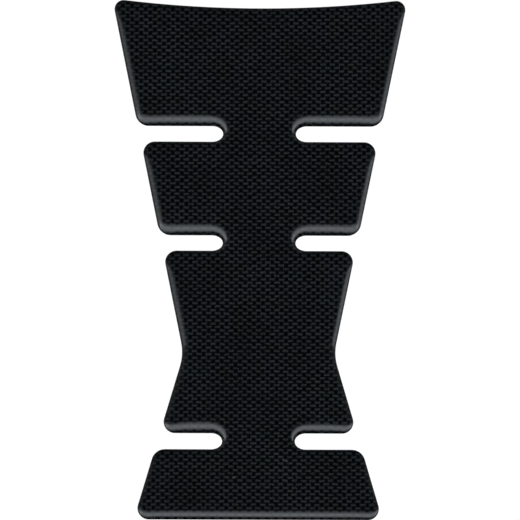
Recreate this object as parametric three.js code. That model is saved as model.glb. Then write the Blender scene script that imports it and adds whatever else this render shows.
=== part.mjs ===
import * as THREE from 'three';

// Motorcycle tank pad: a printed film with clear resin domed over it, lying flat on its back.
// Millimetres, +Z up out of the face, +Y along the pad towards its wide end.
// The origin is under the middle of the outline, on the back face.

// Driving dimensions of the outline
// Heights are measured from the bottom edge. Widths are given where two sides would meet unrounded.
const bottomWidth = 100.7;
const waistWidth = 60.8;
const waistHeight = 66.8;
const topWidth = 119.4;
const topHeight = 210.5;
const topDip = 3.8;
const spineWidth = 29.4;

// Driving dimensions of the slots, each height at the slot's middle
const lowerSlotHeight = 31.7;
const lowerSlotWidth = 6.5;
const middleSlotHeight = 111.8;
const middleSlotWidth = 6.2;
const upperSlotHeight = 155.9;
const upperSlotWidth = 6.3;
const slotEndDepth = 4.4;

// Corner radii, narrow where the sides meet under a right angle and wide where they meet over it
const narrowCornerRadius = 4.6;
const wideCornerRadius = 5.5;
const topCornerRadius = 3.7;
const waistRadius = 20;

// Driving dimensions of the section: the film's cut edge, and the resin that rises from it
const filmThickness = 0.4;
const domeHeight = 2;
const shoulderWidth = 8;
const skinLength = 2.5;

// Fineness of the mesh
const cornerSteps = 12;
const slotEndSteps = 12;
const topEdgeSteps = 12;
const shoulderSteps = 7;
const shoulderCrowding = 1.5;

// A straight side from one point towards another, with the pad on its left.
function sideThrough(from, to) {
  const direction = to.clone().sub(from).normalize();
  const inward = new THREE.Vector2(-direction.y, direction.x);
  return { point: from, direction, inward };
}

// The same side moved into the pad.
function movedIn({ point, direction, inward }, inset) {
  return { point: point.clone().addScaledVector(inward, inset), direction, inward };
}

function meetingPoint(before, after) {
  const between = after.point.clone().sub(before.point);
  const along = between.cross(after.direction) / before.direction.cross(after.direction);
  return before.point.clone().addScaledVector(before.direction, along);
}

function arcPoints(centre, radius, startAngle, endAngle, clockwise, steps) {
  return new THREE.ArcCurve(centre.x, centre.y, radius, startAngle, endAngle, clockwise).getPoints(steps);
}

// The rounded corner between two straight sides. An outer corner turns left, and the waist turns right.
function roundedCorner(before, after, radius) {
  const turn = Math.atan2(before.direction.cross(after.direction), before.direction.dot(after.direction));
  const side = Math.sign(turn);
  const cutBack = radius * Math.tan(Math.abs(turn) / 2);
  const start = meetingPoint(before, after).addScaledVector(before.direction, -cutBack);
  const centre = start.clone().addScaledVector(before.inward, side * radius);
  const startAngle = start.sub(centre).angle();
  return arcPoints(centre, radius, startAngle, startAngle + turn, side < 0, cornerSteps);
}

// The top edge is a shallow arc, and its centre lies far above the pad.
const topEdgeRadius = (topWidth ** 2 / 4 + topDip ** 2) / (2 * topDip);
const topEdgeCentre = new THREE.Vector2(0, topHeight - topDip + topEdgeRadius);

// The corner that touches the straight side below it and the arc of the top edge.
function topCorner(side, inset) {
  const edgeRadius = topEdgeRadius + inset;
  const start = side.point.clone().addScaledVector(side.inward, topCornerRadius);
  const offset = start.clone().sub(topEdgeCentre);
  const along = offset.dot(side.direction);
  const reach = along ** 2 - offset.lengthSq() + (edgeRadius + topCornerRadius) ** 2;
  const centre = start.addScaledVector(side.direction, -along - Math.sqrt(reach));
  const startAngle = side.inward.clone().negate().angle();
  const endAngle = topEdgeCentre.clone().sub(centre).angle();
  return arcPoints(centre, topCornerRadius, startAngle, endAngle, false, cornerSteps);
}

// One slot's way in along its lower edge, round its end and out along its upper edge.
function slotPoints(sideBelow, sideAbove, { height, width, radiusBelow, radiusAbove }, inset) {
  const endAcross = spineWidth / 2 + slotEndDepth;
  const low = height - width / 2;
  const high = height + width / 2;
  const lowerEdge = sideThrough(new THREE.Vector2(endAcross, low), new THREE.Vector2(0, low));
  const upperEdge = sideThrough(new THREE.Vector2(0, high), new THREE.Vector2(endAcross, high));
  const end = new THREE.EllipseCurve(
    endAcross, height, slotEndDepth + inset, width / 2 + inset, 1.5 * Math.PI, 0.5 * Math.PI, true,
  );
  return [
    ...roundedCorner(sideBelow, movedIn(lowerEdge, inset), radiusBelow),
    ...end.getPoints(slotEndSteps),
    ...roundedCorner(movedIn(upperEdge, inset), sideAbove, radiusAbove),
  ];
}

const slots = [
  {
    height: lowerSlotHeight, width: lowerSlotWidth,
    radiusBelow: wideCornerRadius, radiusAbove: narrowCornerRadius,
  },
  {
    height: middleSlotHeight, width: middleSlotWidth,
    radiusBelow: narrowCornerRadius, radiusAbove: wideCornerRadius,
  },
  {
    height: upperSlotHeight, width: upperSlotWidth,
    radiusBelow: narrowCornerRadius, radiusAbove: wideCornerRadius,
  },
];

// The outline moved into the pad, anticlockwise from its bottom right corner.
function outline(inset) {
  const bottomCorner = new THREE.Vector2(bottomWidth / 2, 0);
  const waist = new THREE.Vector2(waistWidth / 2, waistHeight);
  const top = new THREE.Vector2(topWidth / 2, topHeight);
  const bottomEdge = movedIn(sideThrough(new THREE.Vector2(0, 0), bottomCorner), inset);
  const lowerSide = movedIn(sideThrough(bottomCorner, waist), inset);
  const upperSide = movedIn(sideThrough(waist, top), inset);
  const [lowerSlot, middleSlot, upperSlot] = slots;
  const right = [
    ...roundedCorner(bottomEdge, lowerSide, narrowCornerRadius),
    ...slotPoints(lowerSide, lowerSide, lowerSlot, inset),
    ...roundedCorner(lowerSide, upperSide, waistRadius + inset),
    ...slotPoints(upperSide, upperSide, middleSlot, inset),
    ...slotPoints(upperSide, upperSide, upperSlot, inset),
    ...topCorner(upperSide, inset),
  ];
  const left = right.map((point) => new THREE.Vector2(-point.x, point.y)).reverse();
  const startAngle = right.at(-1).clone().sub(topEdgeCentre).angle();
  const endAngle = left[0].clone().sub(topEdgeCentre).angle();
  const topEdge = arcPoints(topEdgeCentre, topEdgeRadius + inset, startAngle, endAngle, true, topEdgeSteps);
  return [...right, ...topEdge.slice(1, -1), ...left];
}

// The section from the back face up: the film's upright edge, then the resin's rounded shoulder.
// The resin's skin rises steeply from the cut edge and levels off as it goes in.
function section() {
  const levels = [{ inset: 0, height: 0 }];
  const fullRise = 1 - Math.exp(-shoulderWidth / skinLength);
  for (let step = 0; step <= shoulderSteps; step += 1) {
    const inset = shoulderWidth * (step / shoulderSteps) ** shoulderCrowding;
    const rise = domeHeight * (1 - Math.exp(-inset / skinLength)) / fullRise;
    levels.push({ inset, height: filmThickness + rise });
  }
  return levels;
}

// One closed skin through the outline at every level, with a flat back and a flat middle.
function padGeometry() {
  const levels = section();
  const rings = levels.map(({ inset }) => outline(inset));
  const count = rings[0].length;
  const middle = new THREE.Box2().setFromPoints(rings[0]).getCenter(new THREE.Vector2());
  const positions = rings.flatMap((ring, level) => (
    ring.flatMap((point) => [point.x - middle.x, point.y - middle.y, levels[level].height])
  ));
  const triangles = [];
  for (let level = 0; level < rings.length - 1; level += 1) {
    for (let step = 0; step < count; step += 1) {
      const here = level * count + step;
      const next = level * count + (step + 1) % count;
      triangles.push(here, next, next + count, here, next + count, here + count);
    }
  }
  const lastRing = (rings.length - 1) * count;
  THREE.ShapeUtils.triangulateShape(rings[0], []).forEach(([a, b, c]) => triangles.push(a, c, b));
  THREE.ShapeUtils.triangulateShape(rings.at(-1), []).forEach(([a, b, c]) => (
    triangles.push(lastRing + a, lastRing + b, lastRing + c)
  ));
  const geometry = new THREE.BufferGeometry();
  geometry.setAttribute('position', new THREE.Float32BufferAttribute(positions, 3));
  geometry.setIndex(triangles);
  geometry.computeVertexNormals();
  return geometry;
}

// Black woven print under clear gloss resin
const glossBlackPrint = new THREE.MeshStandardMaterial({ color: 0x111517, roughness: 0.15, metalness: 0 });

const pad = new THREE.Mesh(padGeometry(), glossBlackPrint);
pad.name = 'tank_pad';

const tankPad = new THREE.Group();
tankPad.add(pad);

export default tankPad;
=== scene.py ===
import math
from collections import namedtuple
from functools import partial

import bpy
import numpy as np
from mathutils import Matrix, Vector
from mathutils.geometry import delaunay_2d_cdt


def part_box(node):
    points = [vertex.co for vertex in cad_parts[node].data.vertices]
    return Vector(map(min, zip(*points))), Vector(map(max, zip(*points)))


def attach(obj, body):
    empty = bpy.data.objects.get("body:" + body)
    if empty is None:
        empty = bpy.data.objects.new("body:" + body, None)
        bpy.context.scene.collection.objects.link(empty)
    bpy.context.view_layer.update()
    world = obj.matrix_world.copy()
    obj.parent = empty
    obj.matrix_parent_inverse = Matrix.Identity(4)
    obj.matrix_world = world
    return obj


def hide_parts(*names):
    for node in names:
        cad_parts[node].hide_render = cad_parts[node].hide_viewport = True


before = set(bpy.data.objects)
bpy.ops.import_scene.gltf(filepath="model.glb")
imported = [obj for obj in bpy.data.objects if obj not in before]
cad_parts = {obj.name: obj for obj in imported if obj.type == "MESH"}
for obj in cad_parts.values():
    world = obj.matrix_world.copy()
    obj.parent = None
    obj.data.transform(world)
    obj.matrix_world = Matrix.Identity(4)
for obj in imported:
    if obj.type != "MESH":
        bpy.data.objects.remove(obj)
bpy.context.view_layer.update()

pad_low, pad_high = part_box("tank_pad")


# Die-cut film
# The pad's base is vinyl film, printed on its face and die-cut to a waisted outline with three
# relief slots in each side, so that it can bend over a tank. Heights run up from the bottom edge.
BOTTOM_WIDTH = 0.1007
WAIST_WIDTH = 0.0608
WAIST_HEIGHT = 0.0668
WAIST_RADIUS = 0.020
TOP_WIDTH = 0.1194
TOP_HEIGHT = 0.2105
TOP_DIP = 0.0038
SPINE_WIDTH = 0.0294
SLOT_END_DEPTH = 0.0044
NARROW_CORNER = 0.0046
WIDE_CORNER = 0.0055
TOP_CORNER = 0.0037
FILM_THICKNESS = 0.0004
CORNER_STEPS = 12
SLOT_END_STEPS = 24
TOP_EDGE_STEPS = 70
STRAIGHT_STEP = 0.0014

Slot = namedtuple("Slot", "height width radius_below radius_above")
LOWER_SLOT = Slot(0.0317, 0.0065, WIDE_CORNER, NARROW_CORNER)
MIDDLE_SLOT = Slot(0.1118, 0.0062, NARROW_CORNER, WIDE_CORNER)
UPPER_SLOT = Slot(0.1559, 0.0063, NARROW_CORNER, WIDE_CORNER)
STRAIGHT_DOWN = 1.5 * math.pi
STRAIGHT_UP = 0.5 * math.pi

Side = namedtuple("Side", "point direction inward")


def side_through(start, end):
    """A straight side from one point towards another, with the pad on its left."""
    direction = (end - start).normalized()
    return Side(start, direction, Vector((-direction.y, direction.x)))


def moved_in(side, inset):
    return side._replace(point=side.point + side.inward * inset)


def meeting_point(before, after):
    along = (after.point - before.point).cross(after.direction)
    return before.point + before.direction * (along / before.direction.cross(after.direction))


def angle_of(arm):
    return math.atan2(arm.y, arm.x)


def arc(centre, radii, start, end, steps):
    """Points along an arc of a circle or an upright ellipse, both ends included."""
    turns = np.linspace(start, end, steps + 1)
    return [centre + Vector((radii[0] * math.cos(t), radii[1] * math.sin(t))) for t in turns]


def rounded_corner(before, after, radius):
    """The arc where two straight sides meet. An outer corner turns left and the waist right."""
    turn = math.atan2(before.direction.cross(after.direction), before.direction.dot(after.direction))
    cut_back = radius * math.tan(abs(turn) / 2)
    start = meeting_point(before, after) - before.direction * cut_back
    centre = start + before.inward * math.copysign(radius, turn)
    first = angle_of(start - centre)
    return arc(centre, (radius, radius), first, first + turn, CORNER_STEPS)


TOP_EDGE_RADIUS = (TOP_WIDTH**2 / 4 + TOP_DIP**2) / (2 * TOP_DIP)
TOP_EDGE_CENTRE = Vector((0, TOP_HEIGHT - TOP_DIP + TOP_EDGE_RADIUS))


def top_corner(side, inset):
    """The corner that touches the straight side below it and the hollow arc of the top edge."""
    start = side.point + side.inward * TOP_CORNER
    offset = start - TOP_EDGE_CENTRE
    along = offset.dot(side.direction)
    reach = along**2 - offset.length_squared + (TOP_EDGE_RADIUS + inset + TOP_CORNER) ** 2
    centre = start - side.direction * (along + math.sqrt(reach))
    first, last = angle_of(-side.inward), angle_of(TOP_EDGE_CENTRE - centre)
    return arc(centre, (TOP_CORNER, TOP_CORNER), first, last, CORNER_STEPS)


def slot_points(side, slot, inset):
    """A slot's way in along its lower edge, round its end and out along its upper edge."""
    end_centre = Vector((SPINE_WIDTH / 2 + SLOT_END_DEPTH, slot.height))
    drop = Vector((0, slot.width / 2))
    inwards, outwards = Vector((-1, 0)), Vector((1, 0))
    lower_edge = side_through(end_centre - drop, end_centre - drop + inwards)
    upper_edge = side_through(end_centre + drop, end_centre + drop + outwards)
    end_radii = (SLOT_END_DEPTH + inset, slot.width / 2 + inset)
    return [
        *rounded_corner(side, moved_in(lower_edge, inset), slot.radius_below),
        *arc(end_centre, end_radii, STRAIGHT_DOWN, STRAIGHT_UP, SLOT_END_STEPS),
        *rounded_corner(moved_in(upper_edge, inset), side, slot.radius_above),
    ]


def bare_outline(inset):
    """The outline moved into the pad, anticlockwise from its bottom right corner."""
    bottom = Vector((BOTTOM_WIDTH / 2, 0))
    waist = Vector((WAIST_WIDTH / 2, WAIST_HEIGHT))
    top = Vector((TOP_WIDTH / 2, TOP_HEIGHT))
    bottom_edge = moved_in(side_through(Vector((0, 0)), bottom), inset)
    lower_side = moved_in(side_through(bottom, waist), inset)
    upper_side = moved_in(side_through(waist, top), inset)
    right = [
        *rounded_corner(bottom_edge, lower_side, NARROW_CORNER),
        *slot_points(lower_side, LOWER_SLOT, inset),
        *rounded_corner(lower_side, upper_side, WAIST_RADIUS + inset),
        *slot_points(upper_side, MIDDLE_SLOT, inset),
        *slot_points(upper_side, UPPER_SLOT, inset),
        *top_corner(upper_side, inset),
    ]
    left = [Vector((-point.x, point.y)) for point in reversed(right)]
    edge_radius = TOP_EDGE_RADIUS + inset
    first, last = (angle_of(point - TOP_EDGE_CENTRE) for point in (right[-1], left[0]))
    top_edge = arc(TOP_EDGE_CENTRE, (edge_radius, edge_radius), first, last, TOP_EDGE_STEPS)
    return np.array([*right, *top_edge[1:-1], *left])


film_edge = bare_outline(0.0)
outline_middle = (film_edge.min(0) + film_edge.max(0)) / 2
stretches = np.linalg.norm(np.roll(film_edge, -1, 0) - film_edge, axis=1)
pieces_each = np.maximum(1, np.round(stretches / STRAIGHT_STEP).astype(int))


def outline(inset):
    """The outline about the frame's origin, its straight stretches split into short steps."""
    points = bare_outline(inset) - outline_middle
    following = np.roll(points, -1, 0)
    return np.concatenate([
        here + (there - here) * np.arange(count)[:, None] / count
        for here, there, count in zip(points, following, pieces_each)
    ])


# Clear resin dome
# Liquid polyurethane is poured on the film and runs to its cut edge, where its skin pulls it into
# a rounded shoulder. It cures clear, glossy and level, and thinner towards the foot.
DOME_HEIGHT = pad_high.z - FILM_THICKNESS
SKIN_LENGTH = 0.0025
FOOT_THINNING = 0.30
FOOT_REACH = 0.066
FOOT_SKEW = 0.36
SHOULDER_WIDTH = 0.0080
SHOULDER_RINGS = 22
SHOULDER_CROWDING = 1.6
MIDDLE_STEP = 0.0024
MIDDLE_CLEARANCE = 0.6
SOLVER_ROUNDS = 600
SOLVER_GOAL = 1e-9
SHARP_ANGLE = math.radians(30)

insets = SHOULDER_WIDTH * (np.arange(SHOULDER_RINGS + 1) / SHOULDER_RINGS) ** SHOULDER_CROWDING
rings = [outline(inset) for inset in insets]
ring_size = len(rings[0])


def inside(points, loop):
    """Which of the points a closed loop surrounds."""
    found = np.zeros(len(points), bool)
    for (ax, ay), (bx, by) in zip(loop, np.roll(loop, -1, 0)):
        spans = (ay > points[:, 1]) != (by > points[:, 1])
        if spans.any():
            crossing = ax + (points[spans, 1] - ay) * (bx - ax) / (by - ay)
            found[spans] ^= points[spans, 0] < crossing
    return found


def distance_to(points, loop):
    """How far each point is from a loop of closely spaced points."""
    return np.array([np.linalg.norm(loop - point, axis=1).min() for point in points])


def middle_points(loop):
    """A honeycomb of points that fills the level middle, clear of its edge."""
    low, high = loop.min(0), loop.max(0)
    row_step = MIDDLE_STEP * math.sqrt(3) / 2
    rows = np.arange(low[1], high[1], row_step)
    grid = np.array([
        (x + MIDDLE_STEP / 2 * (row % 2), y)
        for row, y in enumerate(rows)
        for x in np.arange(low[0], high[0], MIDDLE_STEP)
    ])
    grid = grid[inside(grid, loop)]
    return grid[distance_to(grid, loop) > MIDDLE_STEP * MIDDLE_CLEARANCE]


# The kind of filling that keeps only the triangles inside the edge.
ONLY_INSIDE = 1
MERGE_DISTANCE = 1e-9


def filled(loop, extra):
    """Triangles that fill a loop, through the extra points, as numbers into both in turn."""
    points = [Vector(point) for point in (*loop, *extra)]
    edge = [list(range(len(loop)))]
    filling = delaunay_2d_cdt(points, [], edge, ONLY_INSIDE, MERGE_DISTANCE)
    _, _, triangles, origins, _, _ = filling
    return np.array([[origins[corner][0] for corner in triangle] for triangle in triangles])


def strip_between(first, second):
    """Four-sided faces between two rings of points, given where each ring's numbers start."""
    steps = np.arange(ring_size)
    following = (steps + 1) % ring_size
    return np.stack([first + steps, first + following, second + following, second + steps], 1)


middle = middle_points(rings[-1])
face_points = np.concatenate([*rings, middle])
shoulder_faces = np.concatenate([
    strip_between(ring * ring_size, (ring + 1) * ring_size) for ring in range(SHOULDER_RINGS)
])
middle_faces = filled(rings[-1], middle) + SHOULDER_RINGS * ring_size


def pour_share(points):
    """How much of the full pour stands over each point. It thins further up on the right."""
    above_foot = points[:, 1] + outline_middle[1]
    reach = FOOT_REACH * (1 + FOOT_SKEW * np.clip(points[:, 0] / (SPINE_WIDTH / 2), -1, 1))
    return 1 - FOOT_THINNING * np.clip(1 - above_foot / reach, 0, 1)


def skin_over(points, triangles):
    """The skin as links between points: their starts, ends and pulls, and each point's area."""
    corner = points[triangles]
    skin_length = SKIN_LENGTH * pour_share(points)[triangles].mean(1)
    starts, ends, pulls = [], [], []
    for apex in range(3):
        here, there = (apex + 1) % 3, (apex + 2) % 3
        one, other = corner[:, here] - corner[:, apex], corner[:, there] - corner[:, apex]
        twice_area = np.abs(one[:, 0] * other[:, 1] - one[:, 1] * other[:, 0])
        starts.append(triangles[:, here])
        ends.append(triangles[:, there])
        pulls.append(skin_length**2 * (one * other).sum(1) / twice_area / 2)
    areas = np.bincount(triangles.ravel(), np.repeat(twice_area / 6, 3), len(points))
    return np.concatenate(starts), np.concatenate(ends), np.concatenate(pulls), areas


def settled_heights(points, triangles, pinned):
    """The height of a liquid's skin over each point, level inside and held down where pinned.

    It balances the skin's pull against the liquid's weight by conjugate gradients.
    """
    starts, ends, pulls, weights = skin_over(points, triangles)
    count = len(points)
    free = ~pinned

    def balance(heights):
        lean = pulls * (heights[starts] - heights[ends])
        pulled = np.bincount(starts, lean, count) - np.bincount(ends, lean, count)
        return (weights * heights + pulled) * free

    diagonal = weights + np.bincount(starts, pulls, count) + np.bincount(ends, pulls, count)
    heights = np.zeros(count)
    left = weights * DOME_HEIGHT * pour_share(points) * free
    goal = SOLVER_GOAL * np.sqrt((left**2).sum())
    step = left / diagonal
    merit = left @ step
    for _ in range(SOLVER_ROUNDS):
        moved = balance(step)
        share = merit / (step @ moved)
        heights += share * step
        left -= share * moved
        if np.sqrt((left**2).sum()) < goal:
            break
        scaled = left / diagonal
        merit, previous = left @ scaled, merit
        step = scaled + merit / previous * step
    return heights


split_shoulder = np.concatenate([shoulder_faces[:, [0, 1, 2]], shoulder_faces[:, [0, 2, 3]]])
rim = np.arange(len(face_points)) < ring_size
dome = settled_heights(face_points, np.concatenate([split_shoulder, middle_faces]), rim)

back_start = len(face_points)
back_faces = filled(rings[0], [])[:, ::-1] + back_start
edge_faces = strip_between(back_start, 0)
corners = np.concatenate([
    np.column_stack([face_points, FILM_THICKNESS + dome]),
    np.column_stack([rings[0], np.zeros(ring_size)]),
])
faces = [*shoulder_faces.tolist(), *middle_faces.tolist(), *edge_faces.tolist(), *back_faces.tolist()]
ON_FACE, ON_EDGE, ON_BACK = range(3)
finish_of_face = [
    *[ON_FACE] * (len(shoulder_faces) + len(middle_faces)),
    *[ON_EDGE] * len(edge_faces),
    *[ON_BACK] * len(back_faces),
]

pad_mesh = bpy.data.meshes.new("domed_pad")
pad_mesh.from_pydata(corners.tolist(), [], faces)
pad_mesh.polygons.foreach_set("material_index", finish_of_face)
pad_mesh.polygons.foreach_set("use_smooth", [True] * len(faces))
pad_mesh.set_sharp_from_angle(angle=SHARP_ANGLE)

# The skin is laid out flat for its finishes: the face with the cut edge round it, and the back.
LAYOUT_NAME = "OFBake"
LAYOUT_LENGTH = 0.98
LAYOUT_MARGIN = 0.01
BACK_SHARE = 0.7
BACK_START = 0.58


def laid_out(points, share, start):
    """Where points of the outline lie on the flat layout, whose sides are 1 long."""
    scale = LAYOUT_LENGTH * share / (pad_high.y - pad_low.y)
    return (points - rings[0].min(0)) * scale + (start, LAYOUT_MARGIN)


face_layout = laid_out(face_points, 1.0, LAYOUT_MARGIN)
edge_layout = laid_out(outline(-FILM_THICKNESS), 1.0, LAYOUT_MARGIN)
back_layout = laid_out(rings[0], BACK_SHARE, BACK_START)
used_corners = np.concatenate(faces)
is_back = np.arange(len(used_corners)) >= len(used_corners) - back_faces.size
layout = np.where(
    is_back[:, None],
    np.concatenate([face_layout, back_layout])[used_corners],
    np.concatenate([face_layout, edge_layout])[used_corners],
)
pad_mesh.uv_layers.new(name=LAYOUT_NAME).data.foreach_set("uv", layout.ravel())

domed_pad = bpy.data.objects.new("domed_pad", pad_mesh)
bpy.context.scene.collection.objects.link(domed_pad)


# Woven print under the resin
# The film is printed with a plain carbon weave: pale weft floats in rows like bricks, with
# black warp between them. It lies flat under the resin, so the face shows it as pure colour.
# Three pale flecks mark the foot, and painted shade darkens the print where the dome comes down to
# its rim.
WEAVE_PITCH = 0.0036763
ROW_PITCH = 0.0013789
WEAVE_SHIFT = -0.00011
FIRST_ROW = -0.104945
FLOAT_LENGTH = 0.00238
FLOAT_WIDTH = 0.00102
END_SOFTNESS = 0.00048
SIDE_SOFTNESS = 0.00046
LENGTH_SPREAD = 0.12
SHIFT_SPREAD = 0.00022
LIFT_SPREAD = 0.00024
TILT_SPREAD = 0.14
TONE_SPREAD = 0.22
PLACE_DRAW = 1.0
LOOK_DRAW = 2.0
RAGGEDNESS = 0.00020
RAGGED_X_GRAIN = (1500, 2600, 1)
RAGGED_Y_GRAIN = (1900, 1300, 1)
RAGGED_DETAIL = 2.0

Mottle = namedtuple("Mottle", "grain detail spread")
FIBRES = Mottle((450, 4200, 1), 3.0, 1.2)
CLUMPS = Mottle((2000, 2400, 1), 2.0, 2.4)
DRIFT = Mottle((45, 45, 1), 1.0, 0.6)

BLUE_WEFT = (0.0167, 0.0200, 0.0236, 1.0)
GREEN_WEFT = (0.0167, 0.0200, 0.0195, 1.0)
TINT_GRAIN = (90, 90, 1)
TINT_DETAIL = 1.0
TINT_LOW = 0.35
TINT_HIGH = 0.65
WARP_COLOUR = (0.0000, 0.0001, 0.0006, 1.0)
# Painted shade: the print's colour is darkened low on the shoulder near the rim, where less light
# reaches it.
RIM_SHADE = 0.75
RIM_SHADE_FOOT = 0.00085
RIM_SHADE_TOP = 0.00105
RESIN_ROUGHNESS = 0.09
RESIN_IOR = 1.5

Fleck = namedtuple("Fleck", "x y reach_x reach_y strength")
FLECKS = (
    Fleck(-0.00985, -0.08785, 0.00080, 0.00050, 1.0),
    Fleck(0.01009, -0.08060, 0.00060, 0.00075, 0.35),
    Fleck(0.01129, -0.08117, 0.00060, 0.00060, 0.6),
)
FLECK_COLOUR = (0.075, 0.085, 0.080, 1.0)

# A colour mix keeps its two colours and its result in these sockets.
MIX_FIRST, MIX_SECOND, MIX_RESULT = 6, 7, 2


def math_step(tree, operation, *given):
    """A Math node on sockets or plain numbers, as its output socket."""
    step = tree.nodes.new("ShaderNodeMath")
    step.operation = operation
    for socket, value in zip(step.inputs, given):
        if isinstance(value, bpy.types.NodeSocket):
            tree.links.new(value, socket)
        else:
            socket.default_value = value
    return step.outputs[0]


def ramp(tree, value, low, high, to_low=0.0, to_high=1.0):
    """A value taken smoothly from one range to another."""
    step = tree.nodes.new("ShaderNodeMapRange")
    step.interpolation_type = "SMOOTHSTEP"
    tree.links.new(value, step.inputs["Value"])
    limits = {"From Min": low, "From Max": high, "To Min": to_low, "To Max": to_high}
    for name, number in limits.items():
        step.inputs[name].default_value = number
    return step.outputs["Result"]


def blended(tree, share, first, second):
    """A colour between two others, each a socket or a plain colour."""
    mix = tree.nodes.new("ShaderNodeMix")
    mix.data_type = "RGBA"
    tree.links.new(share, mix.inputs["Factor"])
    for socket, colour in ((mix.inputs[MIX_FIRST], first), (mix.inputs[MIX_SECOND], second)):
        if isinstance(colour, bpy.types.NodeSocket):
            tree.links.new(colour, socket)
        else:
            socket.default_value = colour
    return mix.outputs[MIX_RESULT]


def scaled_noise(tree, place, grain, detail):
    """Noise over the object, about 0.5, with so many grains to the metre in X, Y and Z."""
    mapping = tree.nodes.new("ShaderNodeMapping")
    mapping.inputs["Scale"].default_value = grain
    tree.links.new(place, mapping.inputs["Vector"])
    noise = tree.nodes.new("ShaderNodeTexNoise")
    noise.inputs["Scale"].default_value = 1.0
    noise.inputs["Detail"].default_value = detail
    tree.links.new(mapping.outputs["Vector"], noise.inputs["Vector"])
    return noise.outputs["Fac"]


def new_finish(name):
    """A material with its tree, its shader and the place on the object."""
    finish = bpy.data.materials.new(name)
    finish.use_nodes = True
    tree = finish.node_tree
    place = tree.nodes.new("ShaderNodeTexCoord").outputs["Object"]
    return finish, tree, tree.nodes["Principled BSDF"], place


def chances(tree, column, row, draw):
    """Three even random numbers for each float of the weave. Another draw gives others."""
    cell = tree.nodes.new("ShaderNodeCombineXYZ")
    tree.links.new(column, cell.inputs["X"])
    tree.links.new(row, cell.inputs["Y"])
    cell.inputs["Z"].default_value = draw
    noise = tree.nodes.new("ShaderNodeTexWhiteNoise")
    tree.links.new(cell.outputs[0], noise.inputs["Vector"])
    split = tree.nodes.new("ShaderNodeSeparateColor")
    tree.links.new(noise.outputs["Color"], split.inputs[0])
    return split.outputs


def spread(tree, chance, width):
    """A random value about 0.5 turned into a shift about zero, as wide as given."""
    return math_step(tree, "MULTIPLY", math_step(tree, "SUBTRACT", chance, 0.5), width)


def parts_of(tree, place):
    """A place split into its X, Y and Z."""
    parts = tree.nodes.new("ShaderNodeSeparateXYZ")
    tree.links.new(place, parts.inputs[0])
    return parts.outputs


def scaled_colour(tree, colour, scale):
    """A colour made brighter or darker."""
    scaled = tree.nodes.new("ShaderNodeVectorMath")
    scaled.operation = "SCALE"
    tree.links.new(colour, scaled.inputs[0])
    tree.links.new(scale, scaled.inputs["Scale"])
    return scaled.outputs[0]


def seen_through_resin(tree, skin_place):
    """The place in the flat print that shows at a place on the skin.

    The sloping resin bends the view, so the print looks moved out a little along the shoulder.
    """
    depth = math_step(tree, "SUBTRACT", parts_of(tree, skin_place)["Z"], FILM_THICKNESS)
    bend = 1 - 1 / RESIN_IOR
    bent = tree.nodes.new("ShaderNodeVectorMath")
    bent.operation = "MULTIPLY_ADD"
    tree.links.new(skin_place.node.outputs["Normal"], bent.inputs[0])
    tree.links.new(math_step(tree, "MULTIPLY", depth, -bend), bent.inputs[1])
    tree.links.new(skin_place, bent.inputs[2])
    return bent.outputs[0]


def float_cover(tree, from_x, from_y):
    """How much a weft float covers a place, given how far that is from the float's middle."""
    ends = ramp(tree, from_x, FLOAT_LENGTH / 2 + END_SOFTNESS, FLOAT_LENGTH / 2 - END_SOFTNESS)
    sides = ramp(tree, from_y, FLOAT_WIDTH / 2 + SIDE_SOFTNESS, FLOAT_WIDTH / 2 - SIDE_SOFTNESS)
    return math_step(tree, "MULTIPLY", ends, sides)


def weft_floats(tree, place):
    """How much weft shows at a place, and a random number for the tone of its float."""
    calc = partial(math_step, tree)
    parts = parts_of(tree, place)
    noise_x = scaled_noise(tree, place, RAGGED_X_GRAIN, RAGGED_DETAIL)
    noise_y = scaled_noise(tree, place, RAGGED_Y_GRAIN, RAGGED_DETAIL)
    x = calc("ADD", parts["X"], spread(tree, noise_x, RAGGEDNESS))
    y = calc("ADD", parts["Y"], spread(tree, noise_y, RAGGEDNESS))

    along = calc("DIVIDE", calc("SUBTRACT", y, FIRST_ROW), ROW_PITCH)
    row = calc("FLOOR", along)
    half_brick = calc("MULTIPLY", calc("FLOORED_MODULO", row, 2.0), 0.5)
    across = calc("ADD", calc("DIVIDE", calc("SUBTRACT", x, WEAVE_SHIFT), WEAVE_PITCH), half_brick)
    column = calc("FLOOR", across)
    shift, lift, tilt = chances(tree, column, row, PLACE_DRAW)
    length, tone, _ = chances(tree, column, row, LOOK_DRAW)

    plain_x = calc("MULTIPLY", calc("SUBTRACT", calc("SUBTRACT", across, column), 0.5), WEAVE_PITCH)
    plain_y = calc("MULTIPLY", calc("SUBTRACT", calc("SUBTRACT", along, row), 0.5), ROW_PITCH)
    from_x = calc("ADD", plain_x, spread(tree, shift, SHIFT_SPREAD))
    lifted_y = calc("ADD", plain_y, spread(tree, lift, LIFT_SPREAD))
    from_y = calc("ADD", lifted_y, calc("MULTIPLY", from_x, spread(tree, tilt, TILT_SPREAD)))
    stretched_x = calc("MULTIPLY", from_x, calc("ADD", 1.0, spread(tree, length, LENGTH_SPREAD)))
    this_float = float_cover(tree, calc("ABSOLUTE", stretched_x), calc("ABSOLUTE", from_y))
    to_next_x = calc("SUBTRACT", WEAVE_PITCH / 2, calc("ABSOLUTE", plain_x))
    to_next_y = calc("SUBTRACT", ROW_PITCH, calc("ABSOLUTE", plain_y))
    return calc("ADD", this_float, float_cover(tree, to_next_x, to_next_y)), tone


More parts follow.
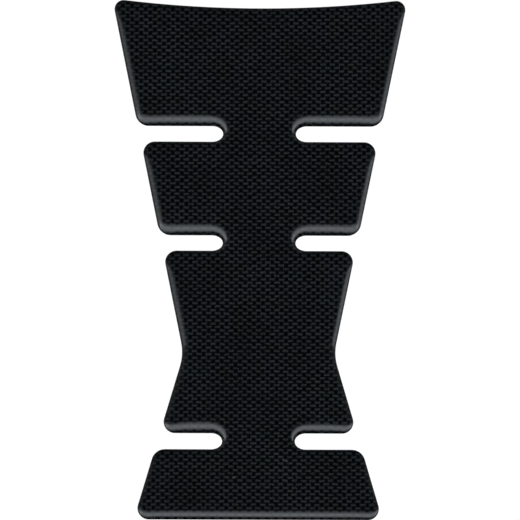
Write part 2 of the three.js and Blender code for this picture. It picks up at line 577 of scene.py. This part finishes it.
def weft_colour(tree, place, tone):
    """The weft's colour, uneven from float to float, along the fibres and over the pad."""
    calc = partial(math_step, tree)
    brightness = calc("ADD", 1.0, spread(tree, tone, TONE_SPREAD))
    for mottle in (FIBRES, CLUMPS, DRIFT):
        noise = scaled_noise(tree, place, mottle.grain, mottle.detail)
        unevenness = calc("ADD", 1.0, spread(tree, noise, mottle.spread))
        brightness = calc("MULTIPLY", brightness, unevenness)
    tint = ramp(tree, scaled_noise(tree, place, TINT_GRAIN, TINT_DETAIL), TINT_LOW, TINT_HIGH)
    return scaled_colour(tree, blended(tree, tint, GREEN_WEFT, BLUE_WEFT), brightness)


def fleck_cover(tree, place, fleck):
    """How strongly a pale fleck shows at a place, fading out from the fleck's middle."""
    calc = partial(math_step, tree)
    parts = parts_of(tree, place)
    along_it = calc("DIVIDE", calc("SUBTRACT", parts["X"], fleck.x), fleck.reach_x)
    across_it = calc("DIVIDE", calc("SUBTRACT", parts["Y"], fleck.y), fleck.reach_y)
    far = calc("SQRT", calc("ADD", calc("POWER", along_it, 2.0), calc("POWER", across_it, 2.0)))
    return ramp(tree, far, 1.0, 0.0, 0.0, fleck.strength)


def woven_print():
    """The print as it looks through the resin, which gives the face its gloss."""
    finish, tree, shader, skin_place = new_finish("woven_print_under_resin")
    place = seen_through_resin(tree, skin_place)
    weft, tone = weft_floats(tree, place)
    woven = blended(tree, weft, WARP_COLOUR, weft_colour(tree, place, tone))
    flecks = 0.0
    for fleck in FLECKS:
        flecks = math_step(tree, "ADD", flecks, fleck_cover(tree, place, fleck))
    flecked = blended(tree, flecks, woven, FLECK_COLOUR)
    # Painted shade, not print: the colour is darkened where the skin is low, down at the rim.
    height = parts_of(tree, skin_place)["Z"]
    rim_shade = ramp(tree, height, RIM_SHADE_FOOT, RIM_SHADE_TOP, RIM_SHADE, 1.0)
    tree.links.new(scaled_colour(tree, flecked, rim_shade), shader.inputs["Base Color"])
    shader.inputs["Roughness"].default_value = RESIN_ROUGHNESS
    shader.inputs["IOR"].default_value = RESIN_IOR
    return finish


# Cut edge and adhesive back
# The die leaves a square black edge on the film. Its back carries a thin coat of clear
# pressure-sensitive adhesive, which dulls the black vinyl behind it.
EDGE_COLOUR = (0.0065, 0.0072, 0.0080, 1.0)
EDGE_SCUFF = (0.0140, 0.0150, 0.0160, 1.0)
EDGE_GRAIN = (900, 900, 4000)
EDGE_ROUGHNESS = (0.45, 0.6)
BACK_COLOUR = (0.0260, 0.0270, 0.0290, 1.0)
BACK_CLOUD = (0.0420, 0.0430, 0.0450, 1.0)
BACK_GRAIN = (260, 260, 260)
BACK_ROUGHNESS = (0.34, 0.46)
CLOUD_DETAIL = 4.0
CLOUD_LOW = 0.38
CLOUD_HIGH = 0.68


def clouded(name, plain, marked, grain, rough_range):
    """A finish that clouds from one colour to another, and dulls where it does."""
    finish, tree, shader, place = new_finish(name)
    clouds = scaled_noise(tree, place, grain, CLOUD_DETAIL)
    share = ramp(tree, clouds, CLOUD_LOW, CLOUD_HIGH)
    roughness = ramp(tree, clouds, CLOUD_LOW, CLOUD_HIGH, *rough_range)
    tree.links.new(blended(tree, share, plain, marked), shader.inputs["Base Color"])
    tree.links.new(roughness, shader.inputs["Roughness"])
    return finish


def cut_film():
    return clouded("cut_vinyl_edge", EDGE_COLOUR, EDGE_SCUFF, EDGE_GRAIN, EDGE_ROUGHNESS)


def adhesive():
    return clouded("adhesive_on_black_vinyl", BACK_COLOUR, BACK_CLOUD, BACK_GRAIN, BACK_ROUGHNESS)


# The finishes go in the order of ON_FACE, ON_EDGE and ON_BACK.
for finish in (woven_print(), cut_film(), adhesive()):
    pad_mesh.materials.append(finish)
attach(domed_pad, "root")
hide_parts("tank_pad")


# Floor
# A plain white table, seen as pure white, that still takes the pad's soft shadow. The pad lies
# loose on it, a hair above, so that its back and the table never share a plane.
FLOOR_SPAN = 200.0
FLOOR_GAP = 0.00005
FLOOR_GREY = 0.30
FLOOR_GLOW = 0.80

floor_mesh = bpy.data.meshes.new("floor")
quarters = ((-1, -1), (1, -1), (1, 1), (-1, 1))
floor_corners = [(x * FLOOR_SPAN / 2, y * FLOOR_SPAN / 2, -FLOOR_GAP) for x, y in quarters]
floor_mesh.from_pydata(floor_corners, [], [(0, 1, 2, 3)])
floor = bpy.data.objects.new("floor", floor_mesh)
bpy.context.scene.collection.objects.link(floor)

floor_finish, floor_tree, floor_shader, _ = new_finish("white_table")
floor_shader.inputs["Base Color"].default_value = (FLOOR_GREY, FLOOR_GREY, FLOOR_GREY, 1.0)
floor_shader.inputs["Roughness"].default_value = 1.0
floor_shader.inputs["Specular IOR Level"].default_value = 0.0
floor_shader.inputs["Emission Color"].default_value = (1.0, 1.0, 1.0, 1.0)
rays = floor_tree.nodes.new("ShaderNodeLightPath")
seen = math_step(floor_tree, "MAXIMUM", rays.outputs["Is Camera Ray"], rays.outputs["Is Glossy Ray"])
seen = math_step(floor_tree, "MAXIMUM", seen, rays.outputs["Is Transmission Ray"])
glow = math_step(floor_tree, "MULTIPLY", seen, FLOOR_GLOW)
floor_tree.links.new(glow, floor_shader.inputs["Emission Strength"])
floor_mesh.materials.append(floor_finish)


# Studio light
# A long softbox with a wing at each end hangs towards the pad's narrow end, brightest along its
# middle. A broad panel above fills the shade, and the dim room has paler side walls and a pale
# foot to the wall beyond the pad's wide end.
LAMP_HEIGHT = 12.0
LAMP_GAP = 0.08

# A panel's sides are slopes seen from the pad: how far off they lie for each metre up.
Panel = namedtuple("Panel", "name left right near far radiance")
SOFTBOX_PANELS = (
    Panel("softbox_edge", -1.25, 1.25, 0.25, 1.25, 0.35),
    Panel("softbox_outer", -1.25, 1.25, 0.29, 1.08, 0.55),
    Panel("softbox_middle", -1.25, 1.25, 0.33, 0.95, 0.60),
    Panel("softbox_inner", -1.25, 1.25, 0.38, 0.85, 0.60),
    Panel("softbox_core", -1.25, 1.25, 0.44, 0.75, 0.50),
    Panel("right_wing_edge", 0.80, 2.70, 0.14, 0.70, 0.50),
    Panel("right_wing_middle", 0.95, 2.40, 0.18, 0.62, 0.50),
    Panel("right_wing_core", 1.10, 2.20, 0.22, 0.55, 0.50),
    Panel("left_wing_edge", -2.40, -0.60, 0.11, 0.62, 0.35),
    Panel("left_wing_middle", -2.00, -0.75, 0.15, 0.60, 0.35),
    Panel("left_wing_core", -1.80, -0.90, 0.19, 0.55, 0.35),
)
FILL_SPAN = 12.0
FILL_RADIANCE = 1.6
SOFTBOX_COLOUR = (0.877, 0.943, 1.0)
SOFTBOX_GAIN = 1.06
ROOM_DIM = 0.002
SIDE_WALLS = 0.36
SIDE_WALLS_INNER = 0.35
SIDE_WALLS_OUTER = 1.25
FAR_WALL = 0.25
FAR_WALL_TURN = 0.6
FAR_WALL_TOP = 0.6
FAR_WALL_FOOT = 0.2


def panel_lamp(name, x_span, y_span, height, radiance):
    """A flat lamp that faces down, as bright all over as the radiance says."""
    lamp = bpy.data.lights.new(name, "AREA")
    lamp.shape = "RECTANGLE"
    lamp.size, lamp.size_y = x_span[1] - x_span[0], y_span[1] - y_span[0]
    lamp.energy = radiance * math.pi * lamp.size * lamp.size_y
    holder = bpy.data.objects.new(name, lamp)
    holder.location = (sum(x_span) / 2, sum(y_span) / 2, height)
    bpy.context.scene.collection.objects.link(holder)
    return holder


for layer, panel in enumerate(SOFTBOX_PANELS):
    height = LAMP_HEIGHT + layer * LAMP_GAP
    x_span = (panel.left * height, panel.right * height)
    y_span = (-panel.far * height, -panel.near * height)
    softbox = panel_lamp(panel.name, x_span, y_span, height, panel.radiance * SOFTBOX_GAIN)
    softbox.data.color = SOFTBOX_COLOUR
fill_reach = (-FILL_SPAN / 2, FILL_SPAN / 2)
fill = panel_lamp("overhead_fill", fill_reach, fill_reach, LAMP_HEIGHT, FILL_RADIANCE)
fill.visible_glossy = False

room = bpy.data.worlds.new("dim_room")
bpy.context.scene.world = room
room.use_nodes = True
room_tree = room.node_tree
direction = room_tree.nodes.new("ShaderNodeTexCoord").outputs["Generated"]
room_parts = parts_of(room_tree, direction)
sideways = math_step(room_tree, "ABSOLUTE", room_parts["X"])
side_light = ramp(room_tree, sideways, SIDE_WALLS_INNER, SIDE_WALLS_OUTER, ROOM_DIM, SIDE_WALLS)
whole_far_wall = ramp(room_tree, room_parts["Y"], 0.0, FAR_WALL_TURN, 0.0, FAR_WALL)
low_down = ramp(room_tree, room_parts["Z"], FAR_WALL_TOP, FAR_WALL_FOOT)
far_light = math_step(room_tree, "MULTIPLY", whole_far_wall, low_down)
room_light = math_step(room_tree, "ADD", side_light, far_light)
room_tree.links.new(room_light, room_tree.nodes["Background"].inputs["Strength"])
room_tree.nodes["Background"].inputs["Color"].default_value = (1.0, 1.0, 1.0, 1.0)


# Camera
# It looks straight down from far off, with the pad's wide end up and the frame filled by its
# length. The pad lies a fifth of a degree askew and a hair left of the middle, as pictured.
FRAME_HEIGHT = 0.21016
CAMERA_LENS = 1200.0
CAMERA_SENSOR = 36.0
CAMERA_ROLL = 0.0036
FRAME_MIDDLE = (0.00038, 0.00008)

camera_data = bpy.data.cameras.new("camera")
camera_data.lens = CAMERA_LENS
camera_data.sensor_width = CAMERA_SENSOR
camera = bpy.data.objects.new("camera", camera_data)
camera.location = (*FRAME_MIDDLE, FRAME_HEIGHT * CAMERA_LENS / CAMERA_SENSOR)
camera.rotation_euler = (0, 0, CAMERA_ROLL)
bpy.context.scene.collection.objects.link(camera)
bpy.context.scene.camera = camera
bpy.context.scene.view_settings.view_transform = "Standard"
